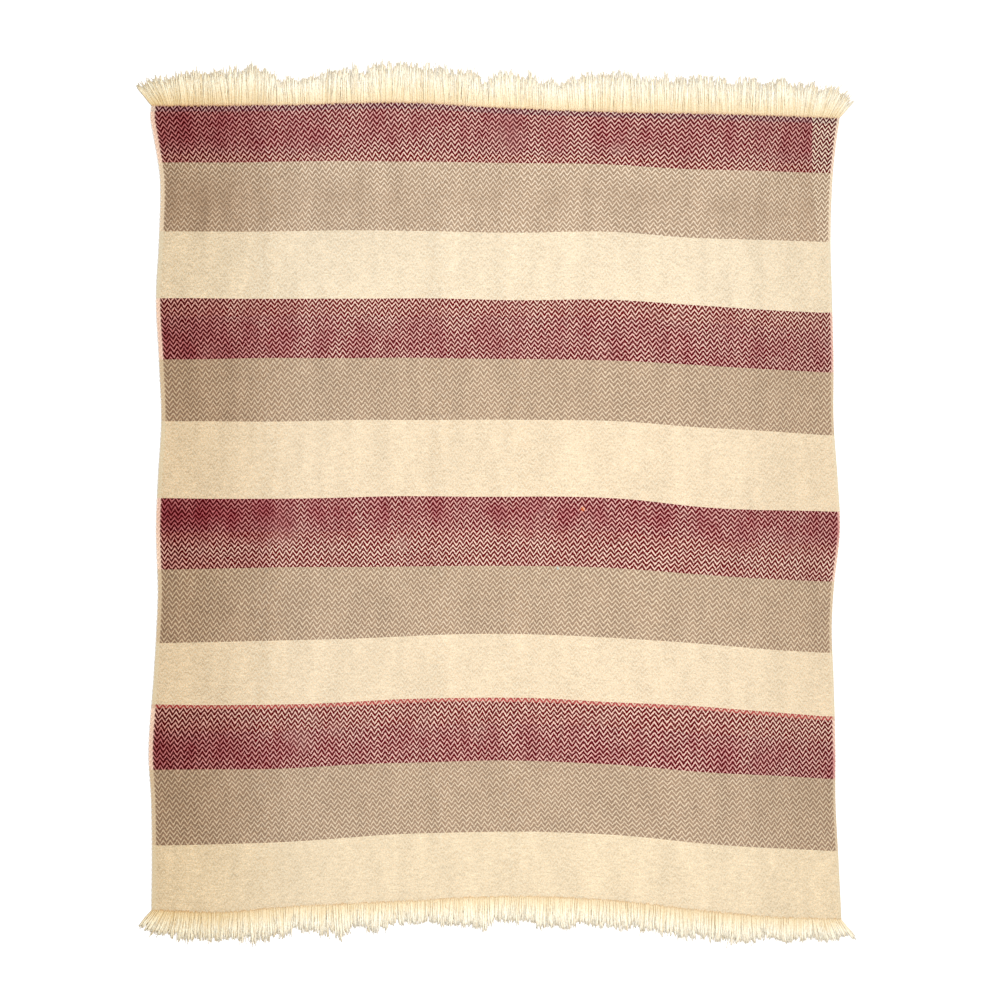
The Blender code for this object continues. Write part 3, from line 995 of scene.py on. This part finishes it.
def make_fringe(side):
    """One fringe: an end of yarn for every end of warp, and the wisps frayed from each."""
    outwards, column, left_splay, right_splay, pinkness, seed = FRINGES[side]
    chance = np.random.default_rng(seed)
    across = read_table(REED, 1, (np.arange(ENDS) + 0.5) / ENDS)
    woven_end = read_table(WOVEN_ENDS, column, across)
    root = np.column_stack([sideways(across, woven_end), woven_end])
    unevenness = np.clip(chance.normal(1.0, END_LENGTHS_DIFFER, ENDS), 0.7, 1.15)
    length = read_table(FRINGE_LENGTHS, column, across) * unevenness
    last_in_tuft = np.cumsum(chance.integers(*ENDS_IN_A_TUFT, ENDS))
    tuft = np.searchsorted(last_in_tuft, np.arange(ENDS), side="right")
    tuft_size = np.bincount(tuft)
    tuft_middle = (np.bincount(tuft, root[:, 0]) / tuft_size)[tuft]
    lean = (
        right_splay * np.exp((across - 1) / SPLAY_REACH)
        - left_splay * np.exp(-across / SPLAY_REACH)
        + waves(LEAN_WAVES, across, seed)
        + chance.normal(0.0, LEANS_DIFFER, ENDS)
    )
    gather = np.clip(chance.normal(GATHERED, GATHERS_DIFFER, ENDS), 0.0, MOST_GATHERED)
    wave = chance.uniform(*WAVE_SIZES, ENDS)
    wave_length = chance.uniform(*WAVE_LENGTHS, ENDS)
    wave_start = chance.uniform(0.0, 2 * math.pi, ENDS)
    layer = chance.uniform(0.0, 1.0, ENDS)
    length = length * chance.normal(1.0, TUFT_LENGTHS_DIFFER, len(tuft_size))[tuft]

    def height_of(layout, number):
        lowest, spread = layout
        return lowest + spread * layer[number]

    def yarn_path(number, along):
        run = along * (length[number] + ROOT_INSIDE) - ROOT_INSIDE
        out = np.maximum(run, 0.0)
        leaning = lean[number]
        forwards = run / np.hypot(1.0, leaning)
        drawn_in = gather[number] * np.sin(math.pi * np.clip(along / 1.15, 0.0, 1.0) ** 0.8)
        x = root[number, 0] + leaning * np.maximum(forwards, 0.0)
        x += drawn_in * (tuft_middle - root[:, 0])[number] * np.clip(out / 0.02, 0.0, 1.0)
        x += wave[number] * np.sin(2 * math.pi * out / wave_length[number] + wave_start[number]) * along
        crimped = np.clip(1 - out / CRIMP_DEEP, 0.0, 1.0)
        crimp = np.sin(2 * math.pi * run / CRIMP_LENGTH + math.pi * number)
        x += CRIMP_SIDEWAYS * crimped * crimp
        settled = np.clip((along - 0.1) / 0.5, 0.0, 1.0) ** 1.5
        z = (1 - settled) * height_of(HEIGHT_AT_ROOT, number) + settled * height_of(HEIGHT_SETTLED, number)
        z += CRIMP_RISE * crimped * crimp - TIP_DROP * np.clip((along - 0.8) / 0.2, 0.0, 1.0)
        return np.column_stack([x, root[number, 1] + outwards * forwards, z])

    def yarn_width(number, along):
        return read_table(YARN_WIDTH, 1, along) * (0.92 + 0.16 * layer[number])

    yarn, points_each, corners_each = strand_row("warp_fringe_" + side, ENDS, 4, YARN_SECTIONS)
    lay_in_cells(yarn, corners_each, YARN_CELLS, 0.0, YARN_SHARE_OF_MAP)
    number, along = bend_strands(yarn, points_each, yarn_path, yarn_width, YARN_FLATNESS)
    # Each end's tone differs a little at random, and the higher ends are painted lighter, as light.
    tone = chance.normal(0.94, 0.02, ENDS) + 0.10 * layer
    note_on_points(yarn.data, "along", along)
    note_on_points(yarn.data, "tone", tone[number])
    note_on_points(yarn.data, "pinkness", np.full(len(number), pinkness))

    wisps = ENDS * WISPS_PER_END
    leaves_at = chance.uniform(*WISP_LEAVES_AT, wisps)
    reaches = chance.uniform(*WISP_REACHES, wisps)
    strays = chance.normal(0.0, WISP_STRAY, wisps)
    curl = chance.uniform(-WISP_CURL, WISP_CURL, wisps)
    rises = chance.uniform(0.0, WISP_RISE, wisps)

    def along_parent(number, along):
        return leaves_at[number] + (reaches[number] - leaves_at[number]) * along

    def wisp_path(number, along):
        parent = number % ENDS
        at = along_parent(number, along)
        here = yarn_path(parent, at)
        away = (at - leaves_at[number]) * length[parent]
        here[:, 0] += strays[number] * away + curl[number] * np.sin(3.0 * along)
        here[:, 2] = np.maximum(here[:, 2] + rises[number] * np.sin(2.2 * along), WISP_LOWEST)
        return here

    def wisp_width(_number, along):
        return WISP_WIDTH - WISP_TAPER * along

    wisp, points_each, corners_each = strand_row("wisps_" + side, wisps, 3, WISP_SECTIONS)
    lay_in_cells(wisp, corners_each, WISP_CELLS, YARN_SHARE_OF_MAP, 1.0)
    number, along = bend_strands(wisp, points_each, wisp_path, wisp_width, YARN_FLATNESS)
    note_on_points(wisp.data, "along", along_parent(number, along))
    note_on_points(wisp.data, "tone", chance.normal(1.06, 0.03, wisps)[number])
    note_on_points(wisp.data, "pinkness", np.full(len(number), pinkness))
    yarn.select_set(True)
    bpy.context.view_layer.objects.active = yarn
    bpy.ops.object.join()
    bpy.ops.object.shade_smooth()
    return yarn


def attribute(tree, name):
    """A number kept at the points."""
    node = tree.nodes.new("ShaderNodeAttribute")
    node.attribute_name = name
    return node.outputs["Fac"]


warp_yarn, tree, shader = wool_material("loose_warp_yarn")
place = object_place(tree)
around_yarn, up_yarn = map_place(tree, "twist")
fuzz_here = place_group(tree, fuzz, Place=place)
along_yarn = attribute(tree, "along")
yarn_tone_and_light = attribute(tree, "tone")
plies = calc(tree, "MULTIPLY_ADD", up_yarn, PLY_TURNS, times(tree, around_yarn, PLIES))
plies = calc(tree, "PINGPONG", plies, 0.5)
# The tips are painted paler, as light shines through them.
colour = blend(tree, fade(tree, along_yarn, *TIP_FADE), YARN_CREAM, TIP_LIT_CREAM)
# Ends lying lower are painted in shade.
sunken_shade = fade(tree, yarn_tone_and_light, 0.92, 1.02, 1.0, 0.0)
colour = blend(tree, times(tree, sunken_shade, 0.5), colour, SUNKEN_SHADE_CREAM)
# A yarn's sides are painted in shade.
off_top = calc(tree, "ABSOLUTE", calc(tree, "SUBTRACT", around_yarn, 0.5))
colour = blend(tree, fade(tree, off_top, *SIDE_FADE, 0.0, 0.55), colour, SIDE_SHADE_TAN)
root = fade(tree, along_yarn, *ROOT_FADE, 1.0, 0.0)
colour = blend(tree, times(tree, root, 0.7), colour, ROOT_BUFF)
blush = times(tree, attribute(tree, "pinkness"), root)
colour = blend(tree, blush, colour, ROOT_BLUSH)
colour = blend(tree, fade(tree, along_yarn, *SHADE_FADE, 0.6, 0.0), colour, ROOT_SHADE)
# The grooves between the plies are painted in shade.
tone = times(tree, yarn_tone_and_light, fade(tree, plies, 0.0, 0.3, 0.96, 1.0))
colour = tinted(tree, toned(tree, colour, tone), fuzz_here["Tint"])
fringe_left_shade = fade(tree, parts_of(tree, place)["X"], *FRINGE_LEFT_SHADE)
connect(tree, deepened(tree, colour, fringe_left_shade), shader.inputs["Base Color"])
raised(tree, calc(tree, "MULTIPLY_ADD", fuzz_here["Height"], 0.2, plies), PLY_DEPTH, shader)

for side in FRINGES:
    fringe = make_fringe(side)
    fringe.data.materials.clear()
    fringe.data.materials.append(warp_yarn)
    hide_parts("fringe_" + side)
    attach(fringe, "root")


# Along both sides the weft turns back round the outermost warp end. Each turn is a small loop of
# that band's yarn, so the selvedges are dotted with the bands' colours.
PICKS_PER_TURN = 4
TURN_HALF_SPAN = 1.6
TURN_WIDTH = 0.0011
TURN_MIDDLE = 0.0024
TURN_SLANT = 0.0004
TURN_INSIDE = 0.0006
TURN_SECTIONS = (0.0, 0.2, 0.4, 0.6, 0.8, 1.0)
TURN_CELLS = (13, 12)
TURN_FUZZ_DEPTH = 0.0003
CREAM_SHARE = 0.94

# Each selvedge: the way out along X, the warp end that it runs round and how far its turns reach.
SELVEDGE_SIDES = {"left": (-1.0, 0.0, 0.0016), "right": (1.0, float(ENDS), 0.0010)}

turn_yarn, tree, shader = wool_material("selvedge_weft")
fuzz_here = place_group(tree, fuzz, Place=object_place(tree))
lots_here = place_group(tree, lots, Pick=attribute(tree, "pick"))
colour = blend(tree, CREAM_SHARE, lots_here["Weft"], lots_here["Warp"])
connect(tree, tinted(tree, colour, fuzz_here["Tint"]), shader.inputs["Base Color"])
raised(tree, fuzz_here["Height"], TURN_FUZZ_DEPTH, shader)


def make_turns(side):
    """The turns of one selvedge, each a short bent strand."""
    outwards, end_number, reach = SELVEDGE_SIDES[side]

    def turn_path(number, along):
        pick = PICKS_PER_TURN * (number + 0.5) - TURN_HALF_SPAN * np.cos(math.pi * along)
        across, x, y = laid_place(np.full(len(pick), end_number), pick)
        z = lift_of(across, x, y) + TURN_MIDDLE + TURN_SLANT * np.cos(math.pi * along)
        x += outwards * (reach * np.sin(math.pi * along) - TURN_INSIDE)
        return np.column_stack([x, y, z])

    def turn_width(_number, along):
        return TURN_WIDTH * (0.7 + 0.3 * np.sin(math.pi * along))

    count = PICKS // PICKS_PER_TURN
    turns, points_each, corners_each = strand_row("weft_turns_" + side, count, 5, TURN_SECTIONS)
    lay_in_cells(turns, corners_each, TURN_CELLS, 0.0, 1.0)
    number, _along = bend_strands(turns, points_each, turn_path, turn_width, 1.0)
    note_on_points(turns.data, "pick", PICKS_PER_TURN * (number + 0.5))
    bpy.ops.object.shade_smooth()
    return turns


for side in SELVEDGE_SIDES:
    turns = make_turns(side)
    turns.data.materials.clear()
    turns.data.materials.append(turn_yarn)
    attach(turns, "root")
